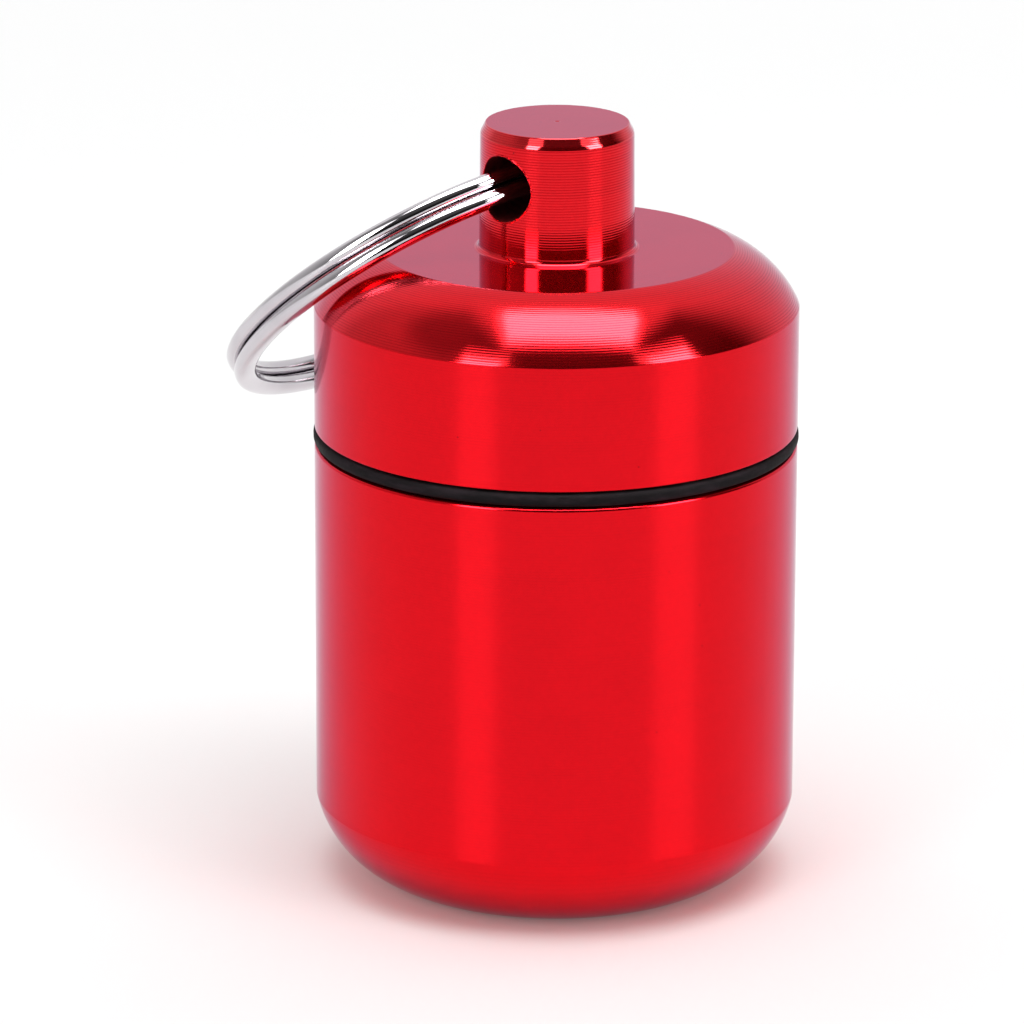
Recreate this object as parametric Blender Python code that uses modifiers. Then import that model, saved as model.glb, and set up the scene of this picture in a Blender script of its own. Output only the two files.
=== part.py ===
"""Small screw-top canister with an O-ring seal and a split key ring.

Every length is in metres, +Z is up and the origin is the middle of the flat base.
The cross hole through the knob runs along Y, and the key ring hangs towards -X.
"""

import math

import bmesh
import bpy
from mathutils import Matrix, Vector

MM = 0.001

# Outer form of the canister and of its cap, from the base upwards
outer_radius = 15.0 * MM
base_round_width = 4.7 * MM
base_round_height = 5.05 * MM
base_curve_radius = 6.7 * MM
canister_height = 27.9 * MM
seal_height = 1.05 * MM
cap_side_height = 7.75 * MM
shoulder_width = 4.05 * MM
shoulder_height = 3.6 * MM
shoulder_curve_radius = 7.0 * MM
edge_break = 0.15 * MM

# Knob turned in one piece with the cap
knob_radius = 4.73 * MM
knob_height = 7.9 * MM
knob_edge_width = 0.35 * MM
knob_edge_height = 0.65 * MM
knob_fillet_radius = 0.35 * MM
hole_height = 4.45 * MM

# Walls, the stored space and the hollow of the cap
cap_wall = 1.2 * MM
neck_wall = 1.0 * MM
floor_thickness = 3.0 * MM
floor_corner_radius = 1.5 * MM
cap_hollow_depth = 8.05 * MM
cap_corner_radius = 1.5 * MM
neck_top_clearance = 1.9 * MM
neck_chamfer = 0.35 * MM

# Screw thread shared by the neck and the cap
thread_pitch = 1.5 * MM
thread_depth = 0.6 * MM
thread_root_width = 0.8 * MM
thread_crest_width = 0.35 * MM
thread_clearance = 0.2 * MM
thread_lead = 0.9 * MM
thread_sink = 0.3 * MM
thread_taper_turns = 0.12
thread_points_per_turn = 32

# Rubber seal between the two rims
seal_clearance = 0.15 * MM
seal_bulge = 0.05 * MM
seal_neck_clearance = 0.2 * MM

# Split key ring: one flat wire wound about twice
ring_outer_radius = 14.4 * MM
ring_wire_width = 1.3 * MM
ring_wire_thickness = 0.72 * MM
ring_coil_gap = 0.44 * MM
ring_corner_radius = 0.3 * MM
ring_lift = 0.35 * MM
ring_hole_clearance = 0.4 * MM
ring_shoulder_clearance = 0.3 * MM
ring_step_degrees = 34.0
ring_end_gap_degrees = 5.0
ring_step_centre_degrees = 262.0
ring_points_per_turn = 44
ring_gap_samples = 180

# Cuts reach this far past the faces they break through
overrun = 1.0 * MM

lathe_steps = 64
arc_steps = 7
edge_steps = 3

# Heights worked out from the sizes above
cap_rim_z = canister_height + seal_height
shoulder_z = cap_rim_z + cap_side_height
flat_top_z = shoulder_z + shoulder_height
knob_top_z = flat_top_z + knob_height
hole_z = flat_top_z + hole_height
cap_roof_z = cap_rim_z + cap_hollow_depth
neck_top_z = cap_roof_z - neck_top_clearance

# Radii worked out from the sizes above, from the outside inwards
cap_thread_root_radius = outer_radius - cap_wall
neck_crest_radius = cap_thread_root_radius - thread_clearance
neck_root_radius = neck_crest_radius - thread_depth
bore_radius = neck_root_radius - neck_wall
flat_top_radius = outer_radius - shoulder_width
base_radius = outer_radius - base_round_width

# Ring sizes worked out from the wire
ring_stack = 2.0 * ring_wire_thickness + ring_coil_gap
ring_mean_radius = ring_outer_radius - ring_wire_width / 2.0
ring_inner_radius = ring_outer_radius - ring_wire_width


def ring_bow(reach):
    """How far the ring's mean circle bows away from its tangent at a distance along it."""
    return ring_mean_radius - math.sqrt(ring_mean_radius ** 2 - reach ** 2)


# The stretch of ring inside the knob bows to one side, so the hole is centred on that bow
ring_bow_in_hole = ring_bow(knob_radius)
ring_section_width = ring_wire_width + ring_bow_in_hole
ring_reach_in_hole = math.hypot(ring_section_width / 2.0, ring_stack / 2.0 + ring_lift)
hole_radius = ring_reach_in_hole + ring_hole_clearance


def clear_scene():
    for item in list(bpy.data.objects):
        bpy.data.objects.remove(item, do_unlink=True)


def new_collection(name):
    collection = bpy.data.collections.new(name)
    bpy.context.scene.collection.children.link(collection)
    return collection


def metal_material(name, colour, roughness, metallic):
    material = bpy.data.materials.new(name)
    material.use_nodes = True
    shader = material.node_tree.nodes["Principled BSDF"]
    shader.inputs["Base Color"].default_value = (*colour, 1.0)
    shader.inputs["Roughness"].default_value = roughness
    shader.inputs["Metallic"].default_value = metallic
    material.diffuse_color = (*colour, 1.0)
    return material


def arc_between(start, end, radius):
    """Points of the shorter arc from start to end that bulges to the left of the way it runs."""
    start = Vector(start)
    end = Vector(end)
    chord = end - start
    half_chord = chord.length / 2.0
    radius = max(radius, half_chord)
    left = Vector((-chord.y, chord.x)).normalized()
    centre = (start + end) / 2.0 - left * math.sqrt(radius ** 2 - half_chord ** 2)
    turn = -2.0 * math.asin(half_chord / radius)
    points = []
    for step in range(arc_steps + 1):
        spoke = (start - centre).copy()
        spoke.rotate(Matrix.Rotation(turn * step / arc_steps, 2))
        points.append(centre + spoke)
    return points


def shoulder_arc():
    return arc_between((flat_top_radius, flat_top_z), (outer_radius, shoulder_z), shoulder_curve_radius)


def outline_object(name, outline, collection):
    """A chain of edges in the XZ plane, from points given as radius and height."""
    mesh = bpy.data.meshes.new(name)
    edges = [(index, index + 1) for index in range(len(outline) - 1)]
    mesh.from_pydata([(point[0], 0.0, point[1]) for point in outline], edges, [])
    item = bpy.data.objects.new(name, mesh)
    collection.objects.link(item)
    return item


def turned(name, outline, collection, closed=False):
    """A turned piece: the outline runs down its outer side and is spun about Z."""
    points = list(outline)
    if closed:
        points.append(points[0])
    item = outline_object(name, points, collection)
    if closed:
        shape = bmesh.new()
        shape.from_mesh(item.data)
        bmesh.ops.remove_doubles(shape, verts=shape.verts, dist=merge_distance)
        shape.to_mesh(item.data)
        shape.free()
    spin = item.modifiers.new("Spin", "SCREW")
    spin.axis = "Z"
    spin.steps = lathe_steps
    spin.render_steps = lathe_steps
    spin.use_merge_vertices = True
    spin.merge_threshold = merge_distance
    return item


merge_distance = 0.001 * MM


def smooth(item, degrees=35.0):
    item.data.shade_smooth()
    item.data.set_sharp_from_angle(angle=math.radians(degrees))


def rounded_box_outline(width, height, radius):
    """Outline of a flat wire's section, with its corners rounded."""
    points = []
    corner_x = width / 2.0 - radius
    corner_y = height / 2.0 - radius
    for corner, (side_x, side_y) in enumerate(((1, 1), (-1, 1), (-1, -1), (1, -1))):
        for step in range(3):
            angle = math.radians(90.0 * corner + 45.0 * step)
            points.append((side_x * corner_x + radius * math.cos(angle),
                           side_y * corner_y + radius * math.sin(angle)))
    return points


def section_curve(name, points, collection):
    """A closed flat outline that a wire or a ridge is swept with."""
    curve = bpy.data.curves.new(name, "CURVE")
    curve.dimensions = "2D"
    curve.fill_mode = "NONE"
    spline = curve.splines.new("POLY")
    spline.points.add(len(points) - 1)
    for target, (across, up) in zip(spline.points, points):
        target.co = (across, up, 0.0, 1.0)
    spline.use_cyclic_u = True
    return guide_object(name, curve, collection)


def guide_object(name, data, collection):
    item = bpy.data.objects.new(name, data)
    item.hide_render = True
    item.display_type = "WIRE"
    collection.objects.link(item)
    return item


def swept_curve(name, path, swell, section, collection):
    """A wire along the path, whose section keeps its up side to +Z."""
    curve = bpy.data.curves.new(name, "CURVE")
    curve.dimensions = "3D"
    curve.twist_mode = "Z_UP"
    curve.bevel_mode = "OBJECT"
    curve.bevel_object = section
    curve.use_fill_caps = True
    spline = curve.splines.new("POLY")
    spline.points.add(len(path) - 1)
    for target, point, radius in zip(spline.points, path, swell):
        target.co = (*point, 1.0)
        target.radius = radius
    item = bpy.data.objects.new(name, curve)
    collection.objects.link(item)
    return item


def curve_to_mesh(item, collection):
    """The evaluated curve as a welded mesh object, in place of the curve."""
    bpy.context.view_layer.update()
    depsgraph = bpy.context.evaluated_depsgraph_get()
    mesh = bpy.data.meshes.new_from_object(item.evaluated_get(depsgraph))
    shape = bmesh.new()
    shape.from_mesh(mesh)
    bmesh.ops.remove_doubles(shape, verts=shape.verts, dist=merge_distance)
    bmesh.ops.recalc_face_normals(shape, faces=shape.faces)
    shape.to_mesh(mesh)
    shape.free()
    solid = bpy.data.objects.new(item.name + "_solid", mesh)
    solid.matrix_world = item.matrix_world
    collection.objects.link(solid)
    name = item.name
    bpy.data.objects.remove(item, do_unlink=True)
    solid.name = name
    return solid


def boolean(item, tool, operation):
    cut = item.modifiers.new(operation.title(), "BOOLEAN")
    cut.operation = operation
    cut.solver = "EXACT"
    cut.object = tool
    tool.hide_render = True
    tool.display_type = "WIRE"


def thread_ridge(name, root_radius, inwards, first_z, phase, guides):
    """A helical ridge standing on a round wall, sunk a little into it and tapered at its ends."""
    side = -1.0 if inwards else 1.0
    half_root = thread_root_width / 2.0
    half_crest = thread_crest_width / 2.0
    section = section_curve(name + "_section", [
        (-side * thread_sink, -half_root),
        (0.0, -half_root),
        (side * thread_depth, -half_crest),
        (side * thread_depth, half_crest),
        (0.0, half_root),
        (-side * thread_sink, half_root),
    ], guides)
    turns = (neck_top_z - cap_rim_z - 2.0 * thread_lead) / thread_pitch
    count = max(2, round(turns * thread_points_per_turn))
    path = []
    swell = []
    for index in range(count + 1):
        turned_so_far = turns * index / count
        angle = phase + 2.0 * math.pi * turned_so_far
        height = first_z + thread_pitch * turned_so_far
        path.append((root_radius * math.cos(angle), root_radius * math.sin(angle), height))
        from_end = min(turned_so_far, turns - turned_so_far)
        swell.append(min(1.0, 0.3 + 0.7 * from_end / thread_taper_turns))
    ridge = swept_curve(name, path, swell, section, guides)
    return curve_to_mesh(ridge, guides)


def canister_outline():
    rim = canister_height
    points = [(0.0, floor_thickness)]
    points += floor_corner()
    points += [
        (bore_radius, neck_top_z - neck_chamfer / 2.0),
        (bore_radius + neck_chamfer / 2.0, neck_top_z),
        (neck_root_radius - neck_chamfer, neck_top_z),
        (neck_root_radius, neck_top_z - neck_chamfer),
        (neck_root_radius, rim),
        (outer_radius - edge_break, rim),
        (outer_radius, rim - edge_break),
    ]
    points += arc_between((outer_radius, base_round_height), (base_radius, 0.0), base_curve_radius)
    points.append((0.0, 0.0))
    return points


def floor_corner():
    """The round between the floor of the stored space and its wall."""
    points = []
    for step in range(edge_steps + 1):
        angle = math.radians(90.0) * step / edge_steps
        points.append((bore_radius - floor_corner_radius * (1.0 - math.sin(angle)),
                       floor_thickness + floor_corner_radius * (1.0 - math.cos(angle))))
    return points


def make_canister(parts, guides):
    body = turned("canister_body", canister_outline(), parts)
    ridge = thread_ridge("neck_thread", neck_root_radius, False, cap_rim_z + thread_lead, 0.0, guides)
    boolean(body, ridge, "UNION")
    return body


def cap_outline():
    points = [
        (0.0, knob_top_z),
        (knob_radius - knob_edge_width, knob_top_z),
    ]
    for step in range(1, edge_steps + 1):
        angle = math.radians(90.0) * step / edge_steps
        points.append((knob_radius - knob_edge_width * (1.0 - math.sin(angle)),
                       knob_top_z - knob_edge_height * (1.0 - math.cos(angle))))
    for step in range(edge_steps + 1):
        angle = math.radians(90.0) * step / edge_steps
        points.append((knob_radius + knob_fillet_radius * (1.0 - math.cos(angle)),
                       flat_top_z + knob_fillet_radius * (1.0 - math.sin(angle))))
    points += shoulder_arc()
    points += [
        (outer_radius, cap_rim_z + edge_break),
        (outer_radius - edge_break, cap_rim_z),
        (cap_thread_root_radius, cap_rim_z),
    ]
    for step in range(edge_steps + 1):
        angle = math.radians(90.0) * step / edge_steps
        points.append((cap_thread_root_radius - cap_corner_radius * (1.0 - math.cos(angle)),
                       cap_roof_z - cap_corner_radius * (1.0 - math.sin(angle))))
    points.append((0.0, cap_roof_z))
    return points


def make_cap(parts, guides):
    cap = turned("screw_cap", cap_outline(), parts)
    half_pitch = thread_pitch / 2.0
    ridge = thread_ridge("cap_thread", cap_thread_root_radius, True,
                         cap_rim_z + thread_lead + half_pitch, 0.0, guides)
    boolean(cap, ridge, "UNION")
    bpy.ops.mesh.primitive_cylinder_add(vertices=40, radius=hole_radius,
                                        depth=2.0 * (knob_radius + overrun),
                                        location=(0.0, 0.0, hole_z),
                                        rotation=(math.radians(90.0), 0.0, 0.0))
    drill = bpy.context.object
    drill.name = "ring_hole_drill"
    for owner in list(drill.users_collection):
        owner.objects.unlink(drill)
    guides.objects.link(drill)
    boolean(cap, drill, "DIFFERENCE")
    return cap


def make_seal(parts):
    """The O-ring squeezed between the rims: flat above and below, round inside and outside."""
    half = seal_height / 2.0 - seal_clearance
    middle_z = canister_height + seal_height / 2.0
    outer = outer_radius + seal_bulge
    inner = neck_root_radius + seal_neck_clearance
    points = []
    for step in range(edge_steps + 1):
        angle = math.radians(90.0 - 180.0 * step / edge_steps)
        points.append((outer - half + half * math.cos(angle), middle_z + half * math.sin(angle)))
    for step in range(edge_steps + 1):
        angle = math.radians(-90.0 - 180.0 * step / edge_steps)
        points.append((inner + half + half * math.cos(angle), middle_z + half * math.sin(angle)))
    return turned("o_ring", points, parts, closed=True)


def ring_place(droop, lift):
    """The ring's own axes and centre, for a droop below level towards -X."""
    away = Vector((-math.cos(droop), 0.0, -math.sin(droop)))
    up = Vector((-math.sin(droop), 0.0, math.cos(droop)))
    along = up.cross(away)
    middle = Vector((0.0, 0.0, hole_z))
    centre = middle + away * (ring_mean_radius - ring_bow_in_hole / 2.0) + up * lift
    return away, along, up, centre


def gap_to_profile(spot, profile):
    """Distance from a point to the nearest stretch of a profile, negative inside it."""
    nearest = None
    for start, end in zip(profile, profile[1:]):
        side = (end - start).normalized()
        reach = max(0.0, min((end - start).length, (spot - start).dot(side)))
        offset = spot - (start + side * reach)
        if nearest is None or offset.length < abs(nearest):
            outside = offset.dot(Vector((-side.y, side.x)))
            nearest = math.copysign(offset.length, outside)
    return nearest


def shoulder_gap(droop, lift):
    """Least gap between the ring's lower face and the turned top of the cap."""
    away, along, up, centre = ring_place(droop, lift)
    profile = [Vector((0.0, flat_top_z))] + shoulder_arc() + [Vector((outer_radius, cap_rim_z))]
    gaps = []
    for edge_radius in (ring_inner_radius, ring_outer_radius):
        for index in range(ring_gap_samples):
            angle = 2.0 * math.pi * index / ring_gap_samples
            point = (centre + away * edge_radius * math.cos(angle)
                     + along * edge_radius * math.sin(angle) - up * ring_stack / 2.0)
            gaps.append(gap_to_profile(Vector((math.hypot(point.x, point.y), point.z)), profile))
    return min(gaps)


def leaning_droop(lift):
    """The droop at which the ring leans on the shoulder with its stated clearance."""
    level, steep = 0.0, math.radians(70.0)
    for _ in range(24):
        middle = (level + steep) / 2.0
        if shoulder_gap(middle, lift) > ring_shoulder_clearance:
            level = middle
        else:
            steep = middle
    return level


def split_ring_path():
    """One wire of nearly two turns that steps from the lower coil to the upper one."""
    step_turns = ring_step_degrees / 360.0
    end_gap_turns = ring_end_gap_degrees / 360.0
    total_turns = 2.0 - step_turns - 2.0 * end_gap_turns
    coil_offset = (ring_wire_thickness + ring_coil_gap) / 2.0
    count = round(total_turns * ring_points_per_turn)
    points = []
    for index in range(count + 1):
        run = total_turns * index / count
        past_step = (run - total_turns / 2.0) / step_turns + 0.5
        blend = max(0.0, min(1.0, past_step))
        blend = blend * blend * (3.0 - 2.0 * blend)
        angle = math.radians(ring_step_centre_degrees) + 2.0 * math.pi * (run - total_turns / 2.0)
        points.append(Vector((ring_mean_radius * math.cos(angle), ring_mean_radius * math.sin(angle),
                              coil_offset * (2.0 * blend - 1.0))))
    return points


def least_coil_gap(points):
    """Least gap between the wire's two coils, for points that lie side by side."""
    least = ring_outer_radius
    one_turn = ring_points_per_turn
    for index, point in enumerate(points):
        for other in points[index + one_turn // 2:]:
            flat = math.hypot(point.x - other.x, point.y - other.y)
            rise = abs(point.z - other.z)
            if flat < ring_wire_width:
                least = min(least, rise - ring_wire_thickness)
    return least


def make_split_ring(parts, guides):
    section = section_curve("ring_wire_section",
                            rounded_box_outline(ring_wire_width, ring_wire_thickness, ring_corner_radius),
                            guides)
    points = split_ring_path()
    print("Least gap between the coils of the split ring, in mm:", round(least_coil_gap(points) / MM, 3))
    wire = swept_curve("split_key_ring", points, [1.0] * len(points), section, parts)
    ring = curve_to_mesh(wire, parts)
    droop = leaning_droop(ring_lift)
    far_droop = leaning_droop(-ring_lift)
    print("Droop of the split ring below level, in degrees:", round(math.degrees(droop), 2))
    print("Swing to the far shoulder, in degrees:", round(180.0 + math.degrees(droop + far_droop), 2))
    away, along, up, centre = ring_place(droop, ring_lift)
    hinge = Vector((0.0, 0.0, hole_z))
    axes = Matrix((away, along, up)).transposed()
    ring.data.transform(Matrix.Translation(centre - hinge) @ axes.to_4x4())
    pivot = bpy.data.objects.new("ring_pivot", None)
    pivot.location = hinge
    guides.objects.link(pivot)
    ring.parent = pivot
    return ring


def main():
    clear_scene()
    parts = new_collection("pill_canister")
    guides = new_collection("cutters")
    red = metal_material("red_anodised_aluminium", (0.70, 0.012, 0.022), 0.25, 1.0)
    black = metal_material("black_rubber", (0.015, 0.013, 0.013), 0.6, 0.0)
    steel = metal_material("nickel_plated_steel", (0.72, 0.71, 0.69), 0.15, 1.0)
    body = make_canister(parts, guides)
    cap = make_cap(parts, guides)
    seal = make_seal(parts)
    ring = make_split_ring(parts, guides)
    for item, material in ((body, red), (cap, red.copy()), (seal, black), (ring, steel)):
        item.data.materials.append(material)
        smooth(item)
    cap.data.materials[0].name = "red_anodised_cap"


main()
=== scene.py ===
"""Looks of the screw-top pill canister: dyed red aluminium, a rubber seal and a nickel split ring.

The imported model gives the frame. Each piece here stands for one CAD node at a finer resolution, apart from
the burr of the hole, which is added. Lengths are in metres, +Z is up, and the canister's axis is the Z axis.
"""

import math
from random import Random

import bmesh
import bpy
from mathutils import Matrix, Vector


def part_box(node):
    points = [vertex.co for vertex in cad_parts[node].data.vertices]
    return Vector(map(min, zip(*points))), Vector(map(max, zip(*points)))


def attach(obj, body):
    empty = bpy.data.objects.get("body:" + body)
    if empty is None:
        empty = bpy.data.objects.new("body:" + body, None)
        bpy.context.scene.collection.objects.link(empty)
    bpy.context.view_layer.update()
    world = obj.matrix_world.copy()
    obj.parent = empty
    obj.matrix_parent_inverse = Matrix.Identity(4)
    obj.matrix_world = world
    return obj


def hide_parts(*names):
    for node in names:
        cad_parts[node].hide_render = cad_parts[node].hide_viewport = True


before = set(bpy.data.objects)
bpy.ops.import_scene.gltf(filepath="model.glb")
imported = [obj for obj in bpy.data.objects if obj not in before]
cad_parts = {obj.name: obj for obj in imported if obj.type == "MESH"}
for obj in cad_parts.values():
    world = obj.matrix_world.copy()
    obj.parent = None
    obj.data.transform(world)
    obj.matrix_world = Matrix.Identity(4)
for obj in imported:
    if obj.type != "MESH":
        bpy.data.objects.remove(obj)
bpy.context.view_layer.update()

MM = 0.001

# Sizes read from the frame
outer_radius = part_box("canister_body")[1].x
neck_top_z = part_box("canister_body")[1].z
cap_rim_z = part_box("screw_cap")[0].z
knob_top_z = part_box("screw_cap")[1].z

# Outer form, from the base upwards, as in the part's source, but for the last and the knob's radius
base_round_width = 4.7 * MM
base_round_height = 5.05 * MM
base_curve_radius = 6.7 * MM
seal_height = 1.05 * MM
cap_side_height = 7.75 * MM
shoulder_width = 4.05 * MM
shoulder_height = 3.6 * MM
shoulder_curve_radius = 7.0 * MM
knob_radius = 4.8 * MM
hole_height = 4.45 * MM
hole_radius = 2.055 * MM

canister_height = cap_rim_z - seal_height
shoulder_z = cap_rim_z + cap_side_height
flat_top_z = shoulder_z + shoulder_height
hole_z = flat_top_z + hole_height
flat_top_radius = outer_radius - shoulder_width
base_radius = outer_radius - base_round_width

# Hidden form: walls, bore, hollow of the cap and thread, as in the part's source
cap_wall = 1.2 * MM
neck_wall = 1.0 * MM
floor_thickness = 3.0 * MM
inner_corner_ease = 1.5 * MM
cap_hollow_depth = 8.05 * MM
neck_chamfer = 0.35 * MM
thread_pitch = 1.5 * MM
thread_depth = 0.6 * MM
thread_root_width = 0.8 * MM
thread_crest_width = 0.35 * MM
thread_clearance = 0.2 * MM
thread_lead = 0.9 * MM
thread_sink = 0.3 * MM
thread_taper_turns = 0.12
thread_end_size = 0.3

cap_roof_z = cap_rim_z + cap_hollow_depth
cap_thread_root_radius = outer_radius - cap_wall
neck_root_radius = cap_thread_root_radius - thread_clearance - thread_depth
bore_radius = neck_root_radius - neck_wall

# Small edges that catch the light, and the fine forms of the knob
rim_ease = 0.12 * MM
crease_ease = 0.25 * MM
knob_face_radius = 4.42 * MM
knob_cone_radius = 4.65 * MM
knob_top_radius = 4.74 * MM
knob_cone_height = 0.43 * MM
knob_band_height = 0.72 * MM
knob_band_curve_radius = 0.82 * MM
knob_edge_ease = 0.1 * MM
knob_fillet = 0.36 * MM
pip_radius = 0.16 * MM
pip_height = 0.03 * MM
burr_radius = 0.042 * MM
burr_stand_back = 0.034 * MM
burr_steps = 180
burr_section_steps = 8
burr_seed = 7
burr_waves = 12
burr_wave_rates = (5, 40)
burr_swell = 0.16

# Seal
seal_slit = 0.03 * MM
seal_bulge = 0.07 * MM
seal_neck_clearance = 0.2 * MM
seal_section_steps = 64
seal_fullness = 3.0

# Split ring: its wire, and how it leans on the cap and in its hole
ring_outer_radius = 14.02 * MM
wire_width = 1.36 * MM
wire_thickness = 1.02 * MM
wire_gap = 0.07 * MM
wire_thinning = 0.22
wire_thin_middle_degrees = 226.0
wire_thin_reach_degrees = 75.0
wire_fullness = 2.5
ring_reach = 13.44 * MM
ring_lift = 0.43 * MM
ring_shift = -0.17 * MM
ring_droop = math.radians(39.12)
ring_twist = math.radians(1.55)
ring_yaw = math.radians(2.97)
ring_step_degrees = 34.0
ring_end_gap_degrees = 5.0
ring_step_centre_degrees = 262.0

# Fineness of the meshes
merge_distance = 0.001 * MM
lathe_steps = 256
arc_step = math.radians(1.5)
ease_step = 6.0 * arc_step
ease_share = 0.45
hold_distance = 0.03 * MM
held_stretch = 6.0 * hold_distance
thread_steps = 96
ring_steps = 240
wire_section_steps = 36
sharp_degrees = 32.0
round_fullness = 2.0

# Camera, fitted to the outlines and seams of the photograph
camera_azimuth = math.radians(45.5)
camera_elevation = math.radians(17.0)
camera_distance = 427.5 * MM
camera_aim = Vector((-2.72 * MM, 0.0, 23.16 * MM))
camera_roll = math.radians(0.15)
camera_lens = 241.0
camera_sensor = 36.0
camera_clip_start = 0.01

# Materials: colours, how many noise cells fit in a metre or in a turning line, and where a noise starts and
# ends to show
dye_colour = (0.74, 0.002, 0.008, 1.0)
# Darker colour for the painted shade in the turning grooves, and for the real specks, smudges and grain
shade_and_mark_colour = (0.22, 0.001, 0.003, 1.0)
edge_tint = (0.72, 0.70, 0.86, 1.0)
flat_tint = (0.62, 0.72, 0.91, 1.0)
dye_metallic = 0.9
smear_turn = 0.25
skin_roughness = 0.08
# How far the painted shade in the grooves also thins the clear skin there, which breaks its highlight into
# lines
skin_shade_in_grooves = 3.0
groove_range = (0.1, 0.75)
fine_line_scale = 3.1
fine_line_height = 0.3
patch_scale = 0.21
patch_range = (0.3, 0.7)
patch_swing = (0.5, 1.5)
speck_scale = 450.0
speck_range = (0.018, 0.034)
speck_shade = 0.8
smudge_scale = 220.0
smudge_range = (0.35, 0.75)
smudge_shade = 0.06
smudge_roughness = (-0.01, 0.03)
grain_scale = 3500.0
grain_range = (0.3, 0.7)
grain_shade = 0.06

nickel_colour = (0.62, 0.59, 0.62, 1.0)
nickel_dull_colour = (0.56, 0.53, 0.56, 1.0)
nickel_grain_scale = 900.0
nickel_relief = 0.004 * MM
nickel_smear_scale = 260.0
nickel_smear_range = (0.35, 0.7)
nickel_roughness = (0.04, 0.07)

rubber_colour = (0.0052, 0.0032, 0.0042, 1.0)
chalk_colour = (0.021, 0.014, 0.018, 1.0)
rubber_grain_scale = 2500.0
rubber_relief = 0.03 * MM
rubber_specular = 0.07
streak_scales = (500.0, 500.0, 1800.0)
streak_range = (0.3, 0.7)
chalk_range = (0.4, 0.75)
rubber_roughness = (0.55, 0.75)

# The wall of the cross hole: a dark red that is painted shade inside the hole, mixed at random with a darker
# one
bore_shade_colour = (0.12, 0.004, 0.005, 1.0)
bore_deeper_shade_colour = (0.07, 0.003, 0.004, 1.0)
bore_metallic = 0.8
bore_grain_scale = 1500.0
bore_grain_range = (0.35, 0.65)
bore_relief = 0.03 * MM
bore_roughness = (0.5, 0.7)

# Where on the cap a material starts
hole_wall_reach = 1.01 * hole_radius
knob_inside_radius = 0.999 * knob_top_radius
level_normal = 0.99

# Studio: the room's light by direction, and the floor
wall_behind_light = 0.92
wall_left_light = 0.62
wall_gap_light = 0.35
room_low_light = 0.012
room_high_light = 0.1
ceiling_light = 1.15
ceiling_least_rise = 0.1
floor_half_width = 3.0
floor_colour = (0.8, 0.8, 0.8, 1.0)
floor_roughness = 0.3
floor_glow = 0.09
floor_gloss = 0.12
floor_white_range = (0.12, 0.4)
white = (1.0, 1.0, 1.0, 1.0)


# Meshes

def arc_middle(start, end, radius):
    """The middle of the arc from start to end that bulges to the left of the way it runs."""
    chord = Vector(end) - Vector(start)
    left = Vector((-chord.y, chord.x)).normalized()
    return (Vector(start) + Vector(end)) / 2.0 - left * math.sqrt(radius ** 2 - (chord.length / 2.0) ** 2)


def arc_between(start, end, radius):
    """Points of the shorter arc between them."""
    start = Vector(start)
    centre = arc_middle(start, end, radius)
    turn = -2.0 * math.asin((Vector(end) - start).length / 2.0 / radius)
    count = math.ceil(abs(turn) / arc_step)
    points = []
    for step in range(count + 1):
        spoke = start - centre
        spoke.rotate(Matrix.Rotation(turn * step / count, 2))
        points.append(centre + spoke)
    return points


def with_ease(points, ease):
    """Each point as a corner that is rounded by that radius."""
    return [(point[0], point[1], ease) for point in points]


def curved(start, end, radius, ease):
    """Corners along an arc, with its two ends eased into what they meet."""
    points = arc_between(start, end, radius)
    return with_ease(points[:1], ease) + with_ease(points[1:-1], 0.0) + with_ease(points[-1:], ease)


def eased(corners):
    """The outline through corners given as radius, height and ease, with each corner rounded."""
    outline = []
    last = len(corners) - 1
    for index, (radius, height, ease) in enumerate(corners):
        here = Vector((radius, height))
        if index in (0, last) or ease == 0.0:
            outline.append(here)
            continue
        before = Vector(corners[index - 1][:2]) - here
        after = Vector(corners[index + 1][:2]) - here
        turn = math.pi - before.angle(after)
        if turn < arc_step / 2.0:
            outline.append(here)
            continue
        reach = ease * math.tan(turn / 2.0)
        reach = min(reach, ease_share * before.length, ease_share * after.length)
        start = here + before.normalized() * reach
        end = here + after.normalized() * reach
        count = max(2, math.ceil(turn / ease_step))
        for step in range(count + 1):
            share = step / count
            outline.append(start.lerp(here, share).lerp(here.lerp(end, share), share))
    return held(outline)


def held(outline):
    """Adds a point close to both ends of each long stretch, so that its shading stays flat."""
    points = [outline[0]]
    for start, end in zip(outline, outline[1:]):
        stretch = end - start
        if stretch.length > held_stretch:
            step = stretch.normalized() * hold_distance
            points += [start + step, end - step]
        points.append(end)
    return points


def new_object(name, mesh):
    """An object of that mesh, in the scene."""
    item = bpy.data.objects.new(name, mesh)
    bpy.context.scene.collection.objects.link(item)
    return item


def lathe(name, outline, closed=False):
    """Spins an outline of radius and height about Z. Its outer side runs downwards."""
    rows = []
    vertices = []
    for point in outline:
        if point.x < merge_distance:
            rows.append([len(vertices)] * lathe_steps)
            vertices.append((0.0, 0.0, point.y))
            continue
        rows.append(list(range(len(vertices), len(vertices) + lathe_steps)))
        for step in range(lathe_steps):
            angle = 2.0 * math.pi * step / lathe_steps
            vertices.append((point.x * math.cos(angle), point.x * math.sin(angle), point.y))
    if closed:
        rows.append(rows[0])
    faces = []
    for upper, lower in zip(rows, rows[1:]):
        for step in range(lathe_steps):
            following = (step + 1) % lathe_steps
            corners = (upper[step], lower[step], lower[following], upper[following])
            faces.append(list(dict.fromkeys(corners)))
    mesh = bpy.data.meshes.new(name)
    mesh.from_pydata(vertices, [], faces)
    return new_object(name, mesh)


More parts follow.
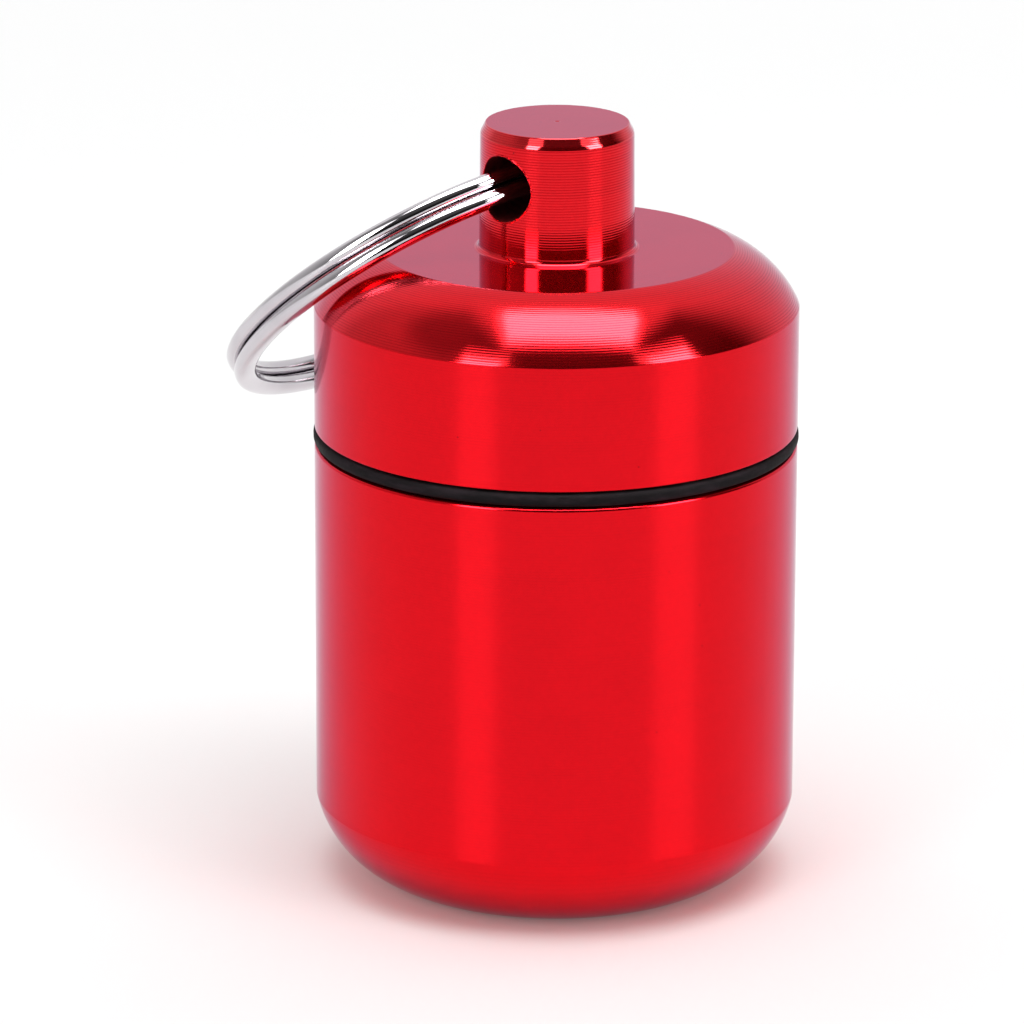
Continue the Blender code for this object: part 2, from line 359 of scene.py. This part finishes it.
def wound(name, path, section, swell=None):
    """A wire wound about Z: the section's first number points away from the axis, its second along it."""
    vertices = []
    last = len(path) - 1
    for index, point in enumerate(path):
        ahead = path[min(index + 1, last)] - path[max(index - 1, 0)]
        outwards = Vector((point.x, point.y, 0.0)).normalized()
        upwards = outwards.cross(ahead).normalized()
        size = swell[index] if swell else 1.0
        for across, along in section:
            vertices.append(point + (outwards * across + upwards * along) * size)
    count = len(section)
    faces = [list(range(count)), list(range(last * count, (last + 1) * count))[::-1]]
    for row in range(last):
        for step in range(count):
            following = (step + 1) % count
            faces.append((row * count + step, (row + 1) * count + step,
                          (row + 1) * count + following, row * count + following))
    mesh = bpy.data.meshes.new(name)
    mesh.from_pydata(vertices, [], faces)
    item = new_object(name, mesh)
    face_outwards(item)
    return item


def face_outwards(item):
    """Turns all its faces so that their front looks out."""
    shape = bmesh.new()
    shape.from_mesh(item.data)
    bmesh.ops.recalc_face_normals(shape, faces=shape.faces)
    shape.to_mesh(item.data)
    shape.free()


def combined(item, tools, operation):
    """The item after each Boolean, with the tools deleted."""
    for tool in tools:
        cut = item.modifiers.new(operation, "BOOLEAN")
        cut.operation = operation
        cut.solver = "EXACT"
        cut.object = tool
    bpy.context.view_layer.update()
    depsgraph = bpy.context.evaluated_depsgraph_get()
    mesh = bpy.data.meshes.new_from_object(item.evaluated_get(depsgraph))
    item.modifiers.clear()
    item.data = mesh
    for tool in tools:
        bpy.data.objects.remove(tool, do_unlink=True)
    return item


def smooth(item):
    """Shades it round, but keeps its sharp edges."""
    item.data.shade_smooth()
    item.data.set_sharp_from_angle(angle=math.radians(sharp_degrees))


def thread_ridge(name, root_radius, inwards, first_z):
    """A helical ridge that stands on a round wall and tapers at its ends."""
    side = -1.0 if inwards else 1.0
    half_root = thread_root_width / 2.0
    half_crest = thread_crest_width / 2.0
    section = [
        (-side * thread_sink, -half_root),
        (0.0, -half_root),
        (side * thread_depth, -half_crest),
        (side * thread_depth, half_crest),
        (0.0, half_root),
        (-side * thread_sink, half_root),
    ]
    turns = (neck_top_z - cap_rim_z - 2.0 * thread_lead) / thread_pitch
    count = round(turns * thread_steps)
    path = []
    swell = []
    for index in range(count + 1):
        wound_so_far = turns * index / count
        angle = 2.0 * math.pi * wound_so_far
        path.append(Vector((root_radius * math.cos(angle), root_radius * math.sin(angle),
                            first_z + thread_pitch * wound_so_far)))
        from_end = min(wound_so_far, turns - wound_so_far)
        growth = (1.0 - thread_end_size) * from_end / thread_taper_turns
        swell.append(min(1.0, thread_end_size + growth))
    return wound(name, path, section, swell)


def canister_outline():
    """From the middle of the floor up the bore, over the neck and down the outside to the base's middle."""
    corners = [
        (0.0, floor_thickness, 0.0),
        (bore_radius, floor_thickness, inner_corner_ease),
        (bore_radius, neck_top_z, neck_chamfer / 2.0),
        (neck_root_radius - neck_chamfer, neck_top_z, rim_ease),
        (neck_root_radius, neck_top_z - neck_chamfer, rim_ease),
        (neck_root_radius, canister_height, rim_ease),
        (outer_radius, canister_height, 2.0 * rim_ease),
    ]
    corners += curved((outer_radius, base_round_height), (base_radius, 0.0), base_curve_radius, crease_ease)
    corners.append((0.0, 0.0, 0.0))
    return eased(corners)


def make_canister():
    """The turned cup with the thread on its neck."""
    body = lathe("canister_shell", canister_outline())
    ridge = thread_ridge("neck_ridge", neck_root_radius, False, cap_rim_z + thread_lead)
    return combined(body, [ridge], "UNION")


def cap_outline():
    """From the middle of the knob down the outside, round the rim and up into the hollow."""
    corners = [
        (0.0, knob_top_z - pip_height, 0.0),
        (pip_radius / 2.0, knob_top_z - pip_height, pip_radius),
        (pip_radius, knob_top_z, pip_radius),
        (knob_face_radius, knob_top_z, knob_edge_ease),
    ]
    corners += curved((knob_cone_radius, knob_top_z - knob_cone_height),
                      (knob_top_radius, knob_top_z - knob_band_height), knob_band_curve_radius, 0.0)
    corners.append((knob_radius, flat_top_z, knob_fillet))
    corners += curved((flat_top_radius, flat_top_z), (outer_radius, shoulder_z), shoulder_curve_radius,
                      crease_ease)
    corners += [
        (outer_radius, cap_rim_z, rim_ease),
        (cap_thread_root_radius, cap_rim_z, rim_ease),
        (cap_thread_root_radius, cap_roof_z, inner_corner_ease),
        (0.0, cap_roof_z, 0.0),
    ]
    return eased(corners)


def drill(name, radius, reach):
    """A round rod along Y through the middle of the knob's hole."""
    outline = [Vector((0.0, reach)), Vector((radius, reach)), Vector((radius, -reach)), Vector((0.0, -reach))]
    rod = lathe(name, outline)
    rod.data.transform(Matrix.Translation((0.0, 0.0, hole_z)) @ Matrix.Rotation(math.pi / 2.0, 4, "X"))
    return rod


def make_cap():
    """The turned cap with the thread in its hollow and the cross hole through its knob."""
    cap = lathe("cap_shell", cap_outline())
    ridge = thread_ridge("cap_ridge", cap_thread_root_radius, True,
                         cap_rim_z + thread_lead + thread_pitch / 2.0)
    cap = combined(cap, [ridge], "UNION")
    return combined(cap, [drill("ring_hole", hole_radius, 2.0 * knob_radius)], "DIFFERENCE")


def make_burr():
    """The ragged edge that the drill left where the cross hole comes out, at both ends of the hole."""
    random = Random(burr_seed)
    middle = (knob_radius + knob_top_radius) / 2.0
    ragged_radius = hole_radius + burr_stand_back
    waves = [(random.randint(*burr_wave_rates), random.uniform(0.0, 2.0 * math.pi)) for _ in range(burr_waves)]
    path = []
    swell = []
    for step in range(burr_steps + 1):
        turn = 2.0 * math.pi * step / burr_steps
        across = ragged_radius * math.cos(turn)
        path.append(Vector((across, ragged_radius * math.sin(turn), math.sqrt(middle ** 2 - across ** 2))))
        swell.append(1.0 + burr_swell * sum(math.sin(rate * turn + start) for rate, start in waves))
    section = rounded_section(burr_radius, burr_radius, burr_section_steps, round_fullness)
    burr = wound("hole_burr", path, section, swell)
    shape = bmesh.new()
    for side in (-1.0, 1.0):
        first = len(shape.verts)
        shape.from_mesh(burr.data)
        shape.verts.ensure_lookup_table()
        place = Matrix.Translation((0.0, 0.0, hole_z)) @ Matrix.Rotation(side * math.pi / 2.0, 4, "X")
        bmesh.ops.transform(shape, verts=shape.verts[first:], matrix=place)
    shape.to_mesh(burr.data)
    shape.free()
    return burr


def make_seal():
    """The squeezed O-ring, whose section is fuller than an ellipse."""
    outer = outer_radius + seal_bulge
    inner = neck_root_radius + seal_neck_clearance
    half_height = seal_height / 2.0 - seal_slit
    half_width = (outer - inner) / 2.0
    middle = Vector(((outer + inner) / 2.0, canister_height + seal_height / 2.0))
    outline = []
    for across, along in rounded_section(half_width, half_height, seal_section_steps, seal_fullness):
        outline.append(middle + Vector((across, along)))
    return lathe("seal_ring", outline, closed=True)


def rounded_section(half_width, half_height, count, fullness):
    """A closed oval outline: a fullness of 2 is an ellipse, and more is nearer to a box."""
    points = []
    for step in range(count):
        angle = -2.0 * math.pi * (step + 0.5) / count
        across = math.copysign(abs(math.cos(angle)) ** (2.0 / fullness), math.cos(angle))
        along = math.copysign(abs(math.sin(angle)) ** (2.0 / fullness), math.sin(angle))
        points.append((half_width * across, half_height * along))
    return points


def make_ring():
    """One wire of nearly two turns, which steps from the lower coil to the upper one.

    Where it leaves the hole behind the knob it is a little thinner, so that it swings freely.
    """
    mean_radius = ring_outer_radius - wire_width / 2.0
    step_turns = ring_step_degrees / 360.0
    total_turns = 2.0 - step_turns - 2.0 * ring_end_gap_degrees / 360.0
    count = round(total_turns * ring_steps)
    path = []
    swell = []
    for index in range(count + 1):
        run = total_turns * (index / count - 0.5)
        climb = max(0.0, min(1.0, run / step_turns + 0.5))
        climb = climb * climb * (3.0 - 2.0 * climb)
        angle = math.radians(ring_step_centre_degrees) + 2.0 * math.pi * run
        away = abs(math.degrees(angle) % 360.0 - wire_thin_middle_degrees) / wire_thin_reach_degrees
        swell.append(1.0 - wire_thinning * math.cos(math.pi / 2.0 * min(1.0, away)) ** 2)
        coil_offset = (wire_thickness * swell[-1] + wire_gap) / 2.0
        path.append(Vector((mean_radius * math.cos(angle), mean_radius * math.sin(angle),
                            coil_offset * (2.0 * climb - 1.0))))
    section = rounded_section(wire_width / 2.0, wire_thickness / 2.0, wire_section_steps, wire_fullness)
    ring = wound("split_ring_wire", path, section, swell)
    lean = (Matrix.Rotation(ring_yaw, 3, "Z") @ Matrix.Rotation(math.pi, 3, "Z")
            @ Matrix.Rotation(ring_droop, 3, "Y") @ Matrix.Rotation(ring_twist, 3, "X"))
    centre = Vector((0.0, 0.0, hole_z)) + lean @ Vector((ring_reach, ring_shift, ring_lift))
    ring.data.transform(Matrix.Translation(centre) @ lean.to_4x4())
    return ring


# Materials

def add(tree, kind, values=None, **settings):
    """A new node, with its settings, and each input given a value or the output that feeds it."""
    node = tree.nodes.new(kind)
    for name, value in settings.items():
        setattr(node, name, value)
    for name, value in (values or {}).items():
        if isinstance(value, bpy.types.NodeSocket):
            tree.links.new(value, node.inputs[name])
        else:
            node.inputs[name].default_value = value
    return node


def new_material(name):
    """A material, its node tree and its shader."""
    material = bpy.data.materials.new(name)
    material.use_nodes = True
    return material, material.node_tree, material.node_tree.nodes["Principled BSDF"]


def maths(tree, operation, first, second=0.0):
    """The result of one operation on numbers or outputs."""
    return add(tree, "ShaderNodeMath", {0: first, 1: second}, operation=operation).outputs[0]


def object_place(tree):
    """The place on the object, in metres."""
    return add(tree, "ShaderNodeTexCoord").outputs["Object"]


def noise(tree, place, scale, detail):
    """Smooth noise over the object, from 0 to 1."""
    return add(tree, "ShaderNodeTexNoise", {"Vector": place, "Scale": scale, "Detail": detail}).outputs[0]


def line_noise(tree, turns, scale, detail):
    """Noise that changes from turning line to turning line."""
    return add(tree, "ShaderNodeTexNoise", {"W": turns, "Scale": scale, "Detail": detail},
               noise_dimensions="1D").outputs[0]


def mixed(tree, share, first, second):
    """A colour from the first to the second."""
    return add(tree, "ShaderNodeMix", {0: share, 6: first, 7: second}, data_type="RGBA").outputs[2]


def relief(tree, height):
    """The normal of a surface that is raised by that height."""
    return add(tree, "ShaderNodeBump", {"Height": height, "Distance": 1.0, "Strength": 1.0}).outputs[0]


def turning_line(tree, way):
    """The place, and how far along the turned outline it lies.

    The way is None for upright sides and level faces, or the middle and the radius of an arc.
    """
    place = object_place(tree)
    flat = add(tree, "ShaderNodeVectorMath", {0: place, 1: (1.0, 1.0, 0.0)}, operation="MULTIPLY")
    radius = add(tree, "ShaderNodeVectorMath", {0: flat.outputs[0]}, operation="LENGTH").outputs["Value"]
    height = add(tree, "ShaderNodeSeparateXYZ", {0: place}).outputs["Z"]
    if way is None:
        return place, maths(tree, "SUBTRACT", radius, height)
    middle, arc_radius = way
    angle = maths(tree, "ARCTAN2", maths(tree, "SUBTRACT", height, middle.y),
                  maths(tree, "SUBTRACT", radius, middle.x))
    return place, maths(tree, "MULTIPLY", angle, arc_radius)


def anodised(name, way, groove_pitch, groove_depth, line_shade, roughness, spread, coat, tint):
    """Aluminium dyed red, with turning grooves round the axis and a clear glossy skin.

    line_shade is how much painted shade darkens the colour in the grooves and thins the skin there, spread is
    how far they smear a reflection across them, coat is the weight of the skin, and tint is the colour of a
    glancing reflection.
    """
    material, tree, shader = new_material(name)
    place, way = turning_line(tree, way)
    turns = maths(tree, "DIVIDE", way, groove_pitch)
    scallop = maths(tree, "ABSOLUTE", maths(tree, "SINE", maths(tree, "MULTIPLY", turns, math.pi)))
    fine = line_noise(tree, turns, fine_line_scale, 3.0)
    ridges = maths(tree, "ADD", scallop, maths(tree, "MULTIPLY", fine, fine_line_height))
    bump = relief(tree, maths(tree, "MULTIPLY", ridges, groove_depth))

    # Painted shade: the grooves get a darker colour and a thinner skin, standing for the shade that falls in
    # them
    groove = ramp(tree, scallop, *groove_range, 1.0, 0.0)
    coat_loss = coat * min(1.0, skin_shade_in_grooves * line_shade)
    skin = maths(tree, "SUBTRACT", coat, maths(tree, "MULTIPLY", groove, coat_loss))
    patch = line_noise(tree, turns, patch_scale, 2.0)
    least, most = patch_swing
    painted_shade_and_marks = ramp(tree, patch, *patch_range, least * line_shade, most * line_shade)
    painted_shade_and_marks = maths(tree, "MULTIPLY", groove, painted_shade_and_marks)
    speck = add(tree, "ShaderNodeTexVoronoi", {"Vector": place, "Scale": speck_scale}).outputs["Distance"]
    painted_shade_and_marks = maths(tree, "MAXIMUM", painted_shade_and_marks, ramp(tree, speck, *speck_range, speck_shade, 0.0))
    smudge = noise(tree, place, smudge_scale, 5.0)
    painted_shade_and_marks = maths(tree, "ADD", painted_shade_and_marks, ramp(tree, smudge, *smudge_range, 0.0, smudge_shade))
    grain = noise(tree, place, grain_scale, 2.0)
    painted_shade_and_marks = maths(tree, "ADD", painted_shade_and_marks, ramp(tree, grain, *grain_range, 0.0, grain_shade))
    tangent = add(tree, "ShaderNodeTangent", direction_type="RADIAL", axis="Z").outputs[0]

    least, most = smudge_roughness
    roughness = ramp(tree, smudge, *smudge_range, roughness + least, roughness + most)
    # The base colour carries the painted groove shade as well as the specks, smudges and grain
    tree.links.new(mixed(tree, painted_shade_and_marks, dye_colour, shade_and_mark_colour), shader.inputs["Base Color"])
    tree.links.new(roughness, shader.inputs["Roughness"])
    shader.inputs["Specular Tint"].default_value = tint
    shader.inputs["Metallic"].default_value = dye_metallic
    shader.inputs["Anisotropic"].default_value = spread
    shader.inputs["Anisotropic Rotation"].default_value = smear_turn
    shader.inputs["Coat Roughness"].default_value = skin_roughness
    tree.links.new(skin, shader.inputs["Coat Weight"])
    tree.links.new(tangent, shader.inputs["Tangent"])
    tree.links.new(bump, shader.inputs["Normal"])
    tree.links.new(bump, shader.inputs["Coat Normal"])
    return material


def nickel():
    """Smooth plate on the ring, faintly smeared."""
    material, tree, shader = new_material("nickel_plate")
    place = object_place(tree)
    grain = noise(tree, place, nickel_grain_scale, 4.0)
    bump = relief(tree, maths(tree, "MULTIPLY", grain, nickel_relief))
    smear = noise(tree, place, nickel_smear_scale, 5.0)
    dullness = ramp(tree, smear, *nickel_smear_range, 0.0, 1.0)
    tree.links.new(mixed(tree, dullness, nickel_colour, nickel_dull_colour), shader.inputs["Base Color"])
    tree.links.new(ramp(tree, smear, *nickel_smear_range, *nickel_roughness), shader.inputs["Roughness"])
    shader.inputs["Metallic"].default_value = 1.0
    tree.links.new(bump, shader.inputs["Normal"])
    return material


def rubber():
    """Matt black rubber with faint chalky streaks round the seal."""
    material, tree, shader = new_material("black_rubber")
    place = object_place(tree)
    grain = noise(tree, place, rubber_grain_scale, 3.0)
    bump = relief(tree, maths(tree, "MULTIPLY", grain, rubber_relief))
    squashed = add(tree, "ShaderNodeVectorMath", {0: place, 1: streak_scales}, operation="MULTIPLY").outputs[0]
    streak = noise(tree, squashed, 1.0, 5.0)
    chalk = ramp(tree, streak, *chalk_range, 0.0, 1.0)
    tree.links.new(mixed(tree, chalk, rubber_colour, chalk_colour), shader.inputs["Base Color"])
    shader.inputs["Specular IOR Level"].default_value = rubber_specular
    tree.links.new(ramp(tree, streak, *streak_range, *rubber_roughness), shader.inputs["Roughness"])
    tree.links.new(bump, shader.inputs["Normal"])
    return material


def drilled():
    """The rough wall of the cross hole, in a dark red that is painted shade inside the hole."""
    material, tree, shader = new_material("drilled_bore")
    grain = noise(tree, object_place(tree), bore_grain_scale, 4.0)
    bump = relief(tree, maths(tree, "MULTIPLY", grain, bore_relief))
    darkness = ramp(tree, grain, *bore_grain_range, 0.0, 1.0)
    tree.links.new(mixed(tree, darkness, bore_shade_colour, bore_deeper_shade_colour), shader.inputs["Base Color"])
    tree.links.new(ramp(tree, grain, *bore_grain_range, *bore_roughness), shader.inputs["Roughness"])
    shader.inputs["Metallic"].default_value = bore_metallic
    tree.links.new(bump, shader.inputs["Normal"])
    return material


def paint(item, finishes, pick):
    """Gives each face the material whose name pick gives for its centre and normal."""
    names = list(finishes)
    for name in names:
        item.data.materials.append(finishes[name])
    for face in item.data.polygons:
        face.material_index = names.index(pick(face.center, face.normal))


def cap_finish(centre, normal):
    """Which of the cap's materials a face gets."""
    radius = math.hypot(centre.x, centre.y)
    if centre.z < shoulder_z:
        return "side"
    if radius > flat_top_radius:
        return "shoulder"
    from_hole = math.hypot(centre.x, centre.z - hole_z)
    if from_hole < hole_wall_reach and radius < knob_inside_radius and centre.z > flat_top_z:
        return "drilled"
    if normal.z > level_normal:
        return "polished"
    return "band" if centre.z > knob_top_z - knob_band_height else "knob"


# Stage

def make_camera():
    """The camera, turned about the canister's axis and raised from its front."""
    camera = bpy.data.objects.new("camera", bpy.data.cameras.new("camera"))
    camera.data.lens = camera_lens
    camera.data.sensor_width = camera_sensor
    camera.data.clip_start = camera_clip_start
    camera.matrix_world = (Matrix.Rotation(camera_azimuth, 4, "Z") @ Matrix.Translation(camera_aim)
                           @ Matrix.Rotation(math.pi / 2.0 - camera_elevation, 4, "X")
                           @ Matrix.Rotation(camera_roll, 4, "Z")
                           @ Matrix.Translation((0.0, 0.0, camera_distance)))
    bpy.context.scene.collection.objects.link(camera)
    bpy.context.scene.camera = camera


def stage_direction(azimuth_degrees, elevation_degrees):
    """A direction from the object: azimuth is measured from the camera's side towards its right."""
    azimuth = camera_azimuth + math.radians(azimuth_degrees)
    elevation = math.radians(elevation_degrees)
    return Vector((math.sin(azimuth) * math.cos(elevation), -math.cos(azimuth) * math.cos(elevation),
                   math.sin(elevation)))


def lamp(name, azimuth, elevation, distance, width, height, radiance):
    """A rectangular soft light that faces the object."""
    light = bpy.data.lights.new(name, "AREA")
    light.shape = "RECTANGLE"
    light.size = width
    light.size_y = height
    light.energy = math.pi * width * height * radiance
    item = bpy.data.objects.new(name, light)
    away = stage_direction(azimuth, elevation)
    item.location = away * distance + Vector((0.0, 0.0, canister_height))
    item.rotation_euler = away.to_track_quat("Z", "Y").to_euler()
    bpy.context.scene.collection.objects.link(item)
    return item


def overhead(name, height, across, ahead, width, depth, tilt_degrees, radiance):
    """A soft light above the object, that far to the camera's right and towards it, its near edge lowered."""
    item = lamp(name, 0.0, 90.0, height, width, depth, radiance)
    item.location += stage_direction(90.0, 0.0) * across + stage_direction(0.0, 0.0) * ahead
    item.rotation_euler = (math.radians(tilt_degrees), 0.0, camera_azimuth)
    return item


def make_lamps():
    """A softbox above and a strip light on each side, each with a hot middle that only glossy things show."""
    overhead("softbox", height=0.91, across=0.082, ahead=0.12, width=0.74, depth=0.74,
             tilt_degrees=36.0, radiance=2.8)
    lamp("left_strip", azimuth=-38.0, elevation=26.0, distance=1.0, width=0.36, height=0.66, radiance=2.3)
    lamp("right_strip", azimuth=58.0, elevation=25.0, distance=1.0, width=0.47, height=0.66, radiance=2.2)
    cores = [
        overhead("softbox_core", height=0.9, across=0.082, ahead=0.102, width=0.65, depth=0.61,
                 tilt_degrees=36.0, radiance=13.0),
        lamp("left_strip_core", azimuth=-38.0, elevation=20.0, distance=0.99, width=0.3, height=0.56,
             radiance=15.0),
        lamp("right_strip_core", azimuth=58.5, elevation=19.0, distance=0.99, width=0.36, height=0.56,
             radiance=15.0),
    ]
    for core in cores:
        core.visible_diffuse = False


def make_world():
    """A dim room with a pale wall behind the object, a duller one on its left and a pale ceiling.

    The camera sees plain white instead.
    """
    world = bpy.data.worlds.new("studio")
    world.use_nodes = True
    tree = world.node_tree
    tree.nodes.clear()
    direction = add(tree, "ShaderNodeTexCoord").outputs["Generated"]
    level = add(tree, "ShaderNodeVectorMath", {0: direction, 1: (1.0, 1.0, 0.0)}, operation="MULTIPLY")
    level = add(tree, "ShaderNodeVectorMath", {0: level.outputs[0]}, operation="NORMALIZE").outputs[0]
    behind = ramp(tree, towards(tree, level, stage_direction(180.0, 0.0)), 0.1, 0.68, 0.0, wall_behind_light)
    left = ramp(tree, towards(tree, level, stage_direction(-120.0, 0.0)), -0.25, 1.05, 0.0, wall_left_light)
    gap = ramp(tree, towards(tree, direction, stage_direction(-72.0, 55.0)),
               math.cos(math.radians(27.0)), math.cos(math.radians(12.0)), 1.0, wall_gap_light)
    walls = maths(tree, "MULTIPLY", maths(tree, "MAXIMUM", behind, left), gap)
    rise = add(tree, "ShaderNodeSeparateXYZ", {0: direction}).outputs["Z"]
    walls = maths(tree, "ADD", walls, ramp(tree, rise, 0.3, 0.8, room_low_light, room_high_light))
    room = maths(tree, "MAXIMUM", walls, ceiling(tree, direction))
    path = add(tree, "ShaderNodeLightPath")
    room = maths(tree, "MAXIMUM", room, path.outputs["Is Camera Ray"])
    background = add(tree, "ShaderNodeBackground", {"Color": room, "Strength": 1.0})
    add(tree, "ShaderNodeOutputWorld", {"Surface": background.outputs[0]})
    bpy.context.scene.world = world


def ceiling(tree, direction):
    """The light off a rectangle of ceiling, by how far along it a direction meets it."""
    rise = add(tree, "ShaderNodeSeparateXYZ", {0: direction}).outputs["Z"]
    rise = maths(tree, "MAXIMUM", rise, ceiling_least_rise)
    across = maths(tree, "DIVIDE", towards(tree, direction, stage_direction(90.0, 0.0)), rise)
    ahead = maths(tree, "DIVIDE", towards(tree, direction, stage_direction(0.0, 0.0)), rise)
    inside = ceiling_light
    edges = ((across, -0.55, -0.28), (across, 0.7, 0.5), (ahead, -0.6, -0.42), (ahead, 0.72, 0.56))
    for value, start, end in edges:
        inside = maths(tree, "MULTIPLY", ramp(tree, value, start, end, 0.0, 1.0), inside)
    return inside


def towards(tree, direction, way):
    """How far a direction points a certain way, from -1 to 1."""
    return add(tree, "ShaderNodeVectorMath", {0: direction, 1: way}, operation="DOT_PRODUCT").outputs["Value"]


def ramp(tree, value, start, end, low, high):
    """A smooth change from low to high as the value goes from start to end."""
    return add(tree, "ShaderNodeMapRange", {"Value": value, "From Min": start, "From Max": end,
                                            "To Min": low, "To Max": high},
               interpolation_type="SMOOTHSTEP").outputs[0]


def make_floor():
    """A white table that keeps the object's shadow.

    Its glow and the white further out show to the camera and in reflections, and light nothing. It is glossy
    only in reflections.
    """
    mesh = bpy.data.meshes.new("floor")
    half = floor_half_width
    mesh.from_pydata([(-half, -half, 0.0), (half, -half, 0.0), (half, half, 0.0), (-half, half, 0.0)], [],
                     [(0, 1, 2, 3)])
    floor = new_object("floor", mesh)
    material, tree, shader = new_material("white_table")
    shader.inputs["Base Color"].default_value = floor_colour
    shader.inputs["Roughness"].default_value = floor_roughness
    path = add(tree, "ShaderNodeLightPath")
    seen = maths(tree, "ADD", path.outputs["Is Camera Ray"], path.outputs["Is Glossy Ray"])
    seen = maths(tree, "MINIMUM", maths(tree, "ADD", seen, path.outputs["Is Transmission Ray"]), 1.0)

    paper = add(tree, "ShaderNodeBsdfDiffuse", {"Color": floor_colour}).outputs[0]
    gloss = maths(tree, "MULTIPLY", path.outputs["Is Glossy Ray"], floor_gloss)
    surface = add(tree, "ShaderNodeMixShader", {0: gloss, 1: paper, 2: shader.outputs[0]}).outputs[0]
    glow = maths(tree, "MULTIPLY", seen, floor_glow)
    glow = add(tree, "ShaderNodeEmission", {"Color": white, "Strength": glow}).outputs[0]
    lit = add(tree, "ShaderNodeAddShader", {0: surface, 1: glow}).outputs[0]

    distance = add(tree, "ShaderNodeVectorMath", {0: object_place(tree)}, operation="LENGTH").outputs["Value"]
    far = maths(tree, "MULTIPLY", ramp(tree, distance, *floor_white_range, 0.0, 1.0), seen)
    blank = add(tree, "ShaderNodeEmission", {"Color": white, "Strength": 1.0}).outputs[0]
    lit = add(tree, "ShaderNodeMixShader", {0: far, 1: lit, 2: blank}).outputs[0]
    tree.links.new(lit, tree.nodes["Material Output"].inputs["Surface"])
    floor.data.materials.append(material)


def place_piece(item, node, body):
    """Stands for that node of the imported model, and moves with that body."""
    smooth(item)
    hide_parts(node)
    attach(item, body)


def cap_finishes():
    """The materials of the cap by name."""
    start = (flat_top_radius, flat_top_z)
    end = (outer_radius, shoulder_z)
    shoulder_way = (arc_middle(start, end, shoulder_curve_radius), shoulder_curve_radius)
    return {
        "side": anodised("anodised_side", None, groove_pitch=0.19 * MM, groove_depth=0.0001 * MM,
                         line_shade=0.06, roughness=0.14, spread=0.4, coat=0.06, tint=edge_tint),
        "polished": anodised("anodised_polished", None, groove_pitch=0.19 * MM, groove_depth=0.0001 * MM,
                             line_shade=0.06, roughness=0.08, spread=0.2, coat=0.05, tint=flat_tint),
        "shoulder": anodised("anodised_shoulder", shoulder_way, groove_pitch=0.17 * MM,
                             groove_depth=0.0032 * MM, line_shade=0.3, roughness=0.09, spread=0.2, coat=0.25,
                             tint=edge_tint),
        "knob": anodised("anodised_knob", None, groove_pitch=0.17 * MM, groove_depth=0.003 * MM,
                         line_shade=0.36, roughness=0.07, spread=0.3, coat=0.25, tint=edge_tint),
        "drilled": drilled(),
        "band": anodised("anodised_band", None, groove_pitch=0.19 * MM, groove_depth=0.001 * MM,
                         line_shade=0.3, roughness=0.08, spread=0.2, coat=0.7, tint=edge_tint),
    }


def main():
    """Makes the pieces, the studio and the camera."""
    finishes = cap_finishes()

    canister = make_canister()
    canister.data.materials.append(finishes["side"])
    place_piece(canister, "canister_body", "canister")

    cap = make_cap()
    paint(cap, finishes, cap_finish)
    place_piece(cap, "screw_cap", "cap")

    burr = make_burr()
    burr.data.materials.append(finishes["knob"])
    burr.data.shade_smooth()
    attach(burr, "cap")

    seal = make_seal()
    seal.data.materials.append(rubber())
    place_piece(seal, "o_ring", "seal")

    ring = make_ring()
    ring.data.materials.append(nickel())
    place_piece(ring, "split_key_ring", "key_ring")

    make_floor()
    make_world()
    make_lamps()
    make_camera()
    bpy.context.scene.view_settings.view_transform = "Standard"


main()
